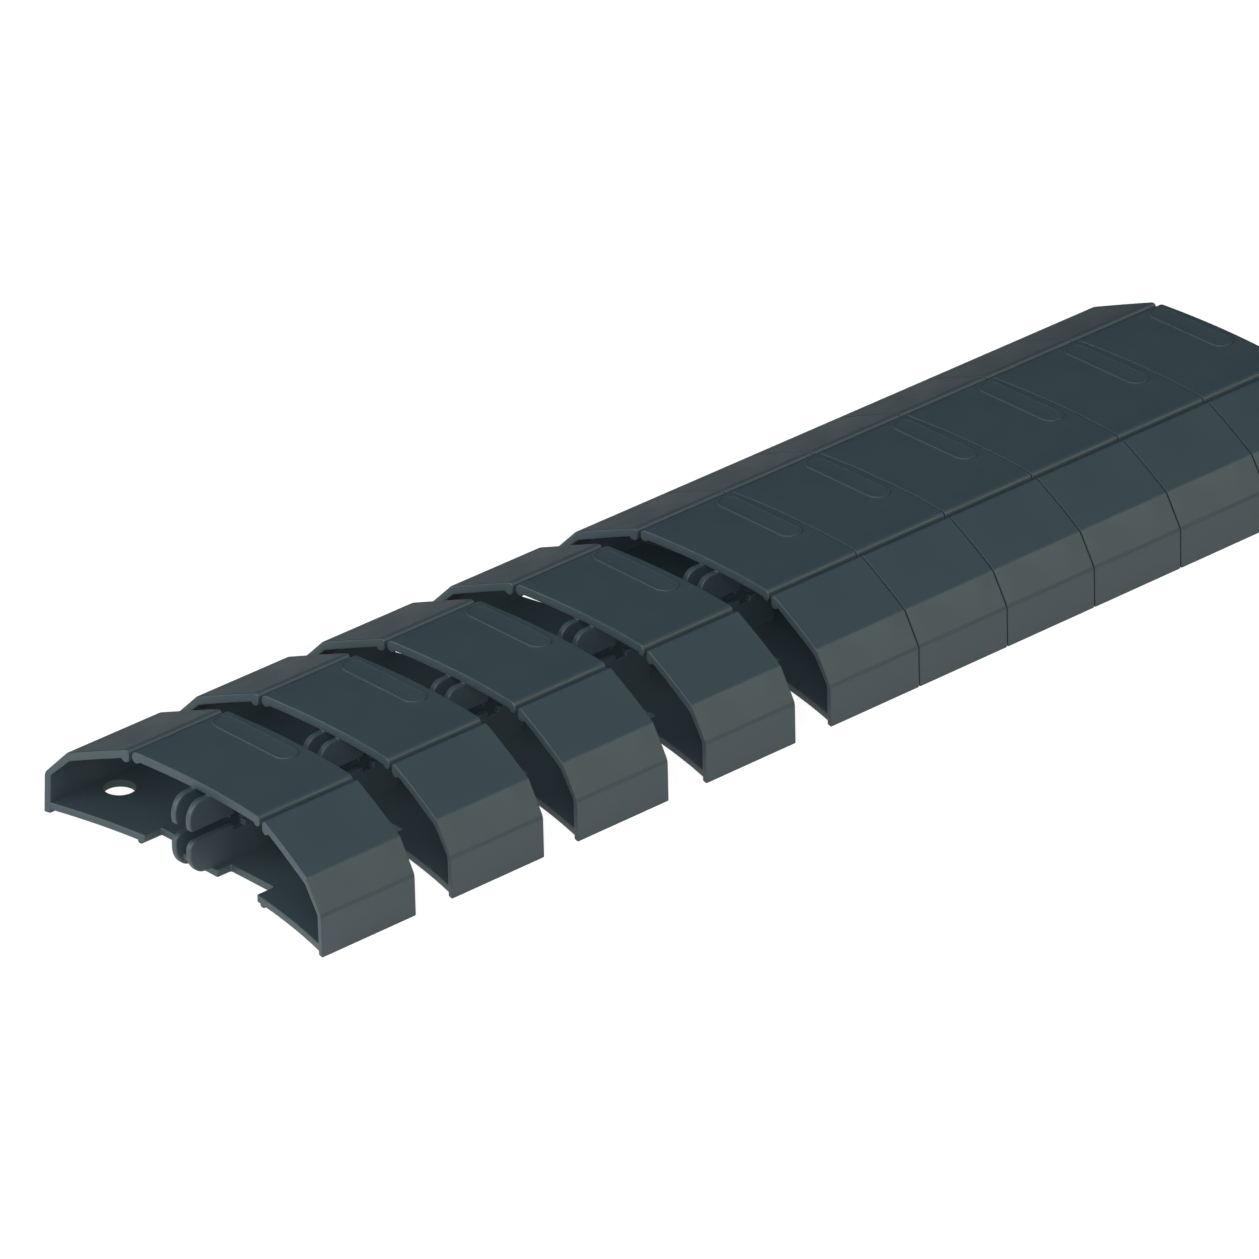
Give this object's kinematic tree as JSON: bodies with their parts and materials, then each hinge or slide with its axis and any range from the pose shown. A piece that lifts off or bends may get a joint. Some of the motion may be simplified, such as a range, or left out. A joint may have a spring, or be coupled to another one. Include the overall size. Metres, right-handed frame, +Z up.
{
  "type": "articulated floor cable raceway",
  "caption": "Low floor raceway of nesting plastic links with two cable channels, top slits for pressing cables in, and a tongue-and-slot chain that pulls apart and swivels.",
  "frame": {"origin": "centre of the bounding box in X and Y, on the floor plane under the feet of the side walls", "axes": "+Y along the raceway, from the pulled-apart links to the closed ones; +X across to the right; +Z up"},
  "size_m": [0.13, 0.4784, 0.033],
  "materials": {
    "anthracite_plastic": "satin moulded plastic, dark slate grey"
  },
  "bodies": {
    "middle_link": {"link_05": "anthracite_plastic"},
    "open_link_04": {"link_04": "anthracite_plastic"},
    "open_link_03": {"link_03": "anthracite_plastic"},
    "open_link_02": {"link_02": "anthracite_plastic"},
    "open_link_01": {"link_01": "anthracite_plastic"},
    "closed_link_06": {"link_06": "anthracite_plastic"},
    "closed_link_07": {"link_07": "anthracite_plastic"},
    "closed_link_08": {"link_08": "anthracite_plastic"},
    "closed_link_09": {"link_09": "anthracite_plastic"},
    "closed_link_10": {"link_10": "anthracite_plastic"}
  },
  "joints": [
    {"name": "swivel_04", "type": "hinge", "parent": "middle_link", "child": "open_link_04", "pos_m": [0, -0.0156, 0.0135], "axis": [0, 0, 1], "range_deg": [-11, 11]},
    {"name": "swivel_03", "type": "hinge", "parent": "open_link_04", "child": "open_link_03", "pos_m": [0, -0.0708, 0.0135], "axis": [0, 0, 1], "range_deg": [-11, 11]},
    {"name": "swivel_02", "type": "hinge", "parent": "open_link_03", "child": "open_link_02", "pos_m": [0, -0.124, 0.0135], "axis": [0, 0, 1], "range_deg": [-11, 11]},
    {"name": "swivel_01", "type": "hinge", "parent": "open_link_02", "child": "open_link_01", "pos_m": [0, -0.178, 0.0135], "axis": [0, 0, 1], "range_deg": [-11, 11]},
    {"name": "pull_06", "type": "slide", "parent": "middle_link", "child": "closed_link_06", "axis": [0, 1, 0], "range_m": [0, 0.0158]},
    {"name": "pull_07", "type": "slide", "parent": "closed_link_06", "child": "closed_link_07", "axis": [0, 1, 0], "range_m": [0, 0.0158]},
    {"name": "pull_08", "type": "slide", "parent": "closed_link_07", "child": "closed_link_08", "axis": [0, 1, 0], "range_m": [0, 0.0158]},
    {"name": "pull_09", "type": "slide", "parent": "closed_link_08", "child": "closed_link_09", "axis": [0, 1, 0], "range_m": [0, 0.0158]},
    {"name": "pull_10", "type": "slide", "parent": "closed_link_09", "child": "closed_link_10", "axis": [0, 1, 0], "range_m": [0, 0.0158]}
  ]
}
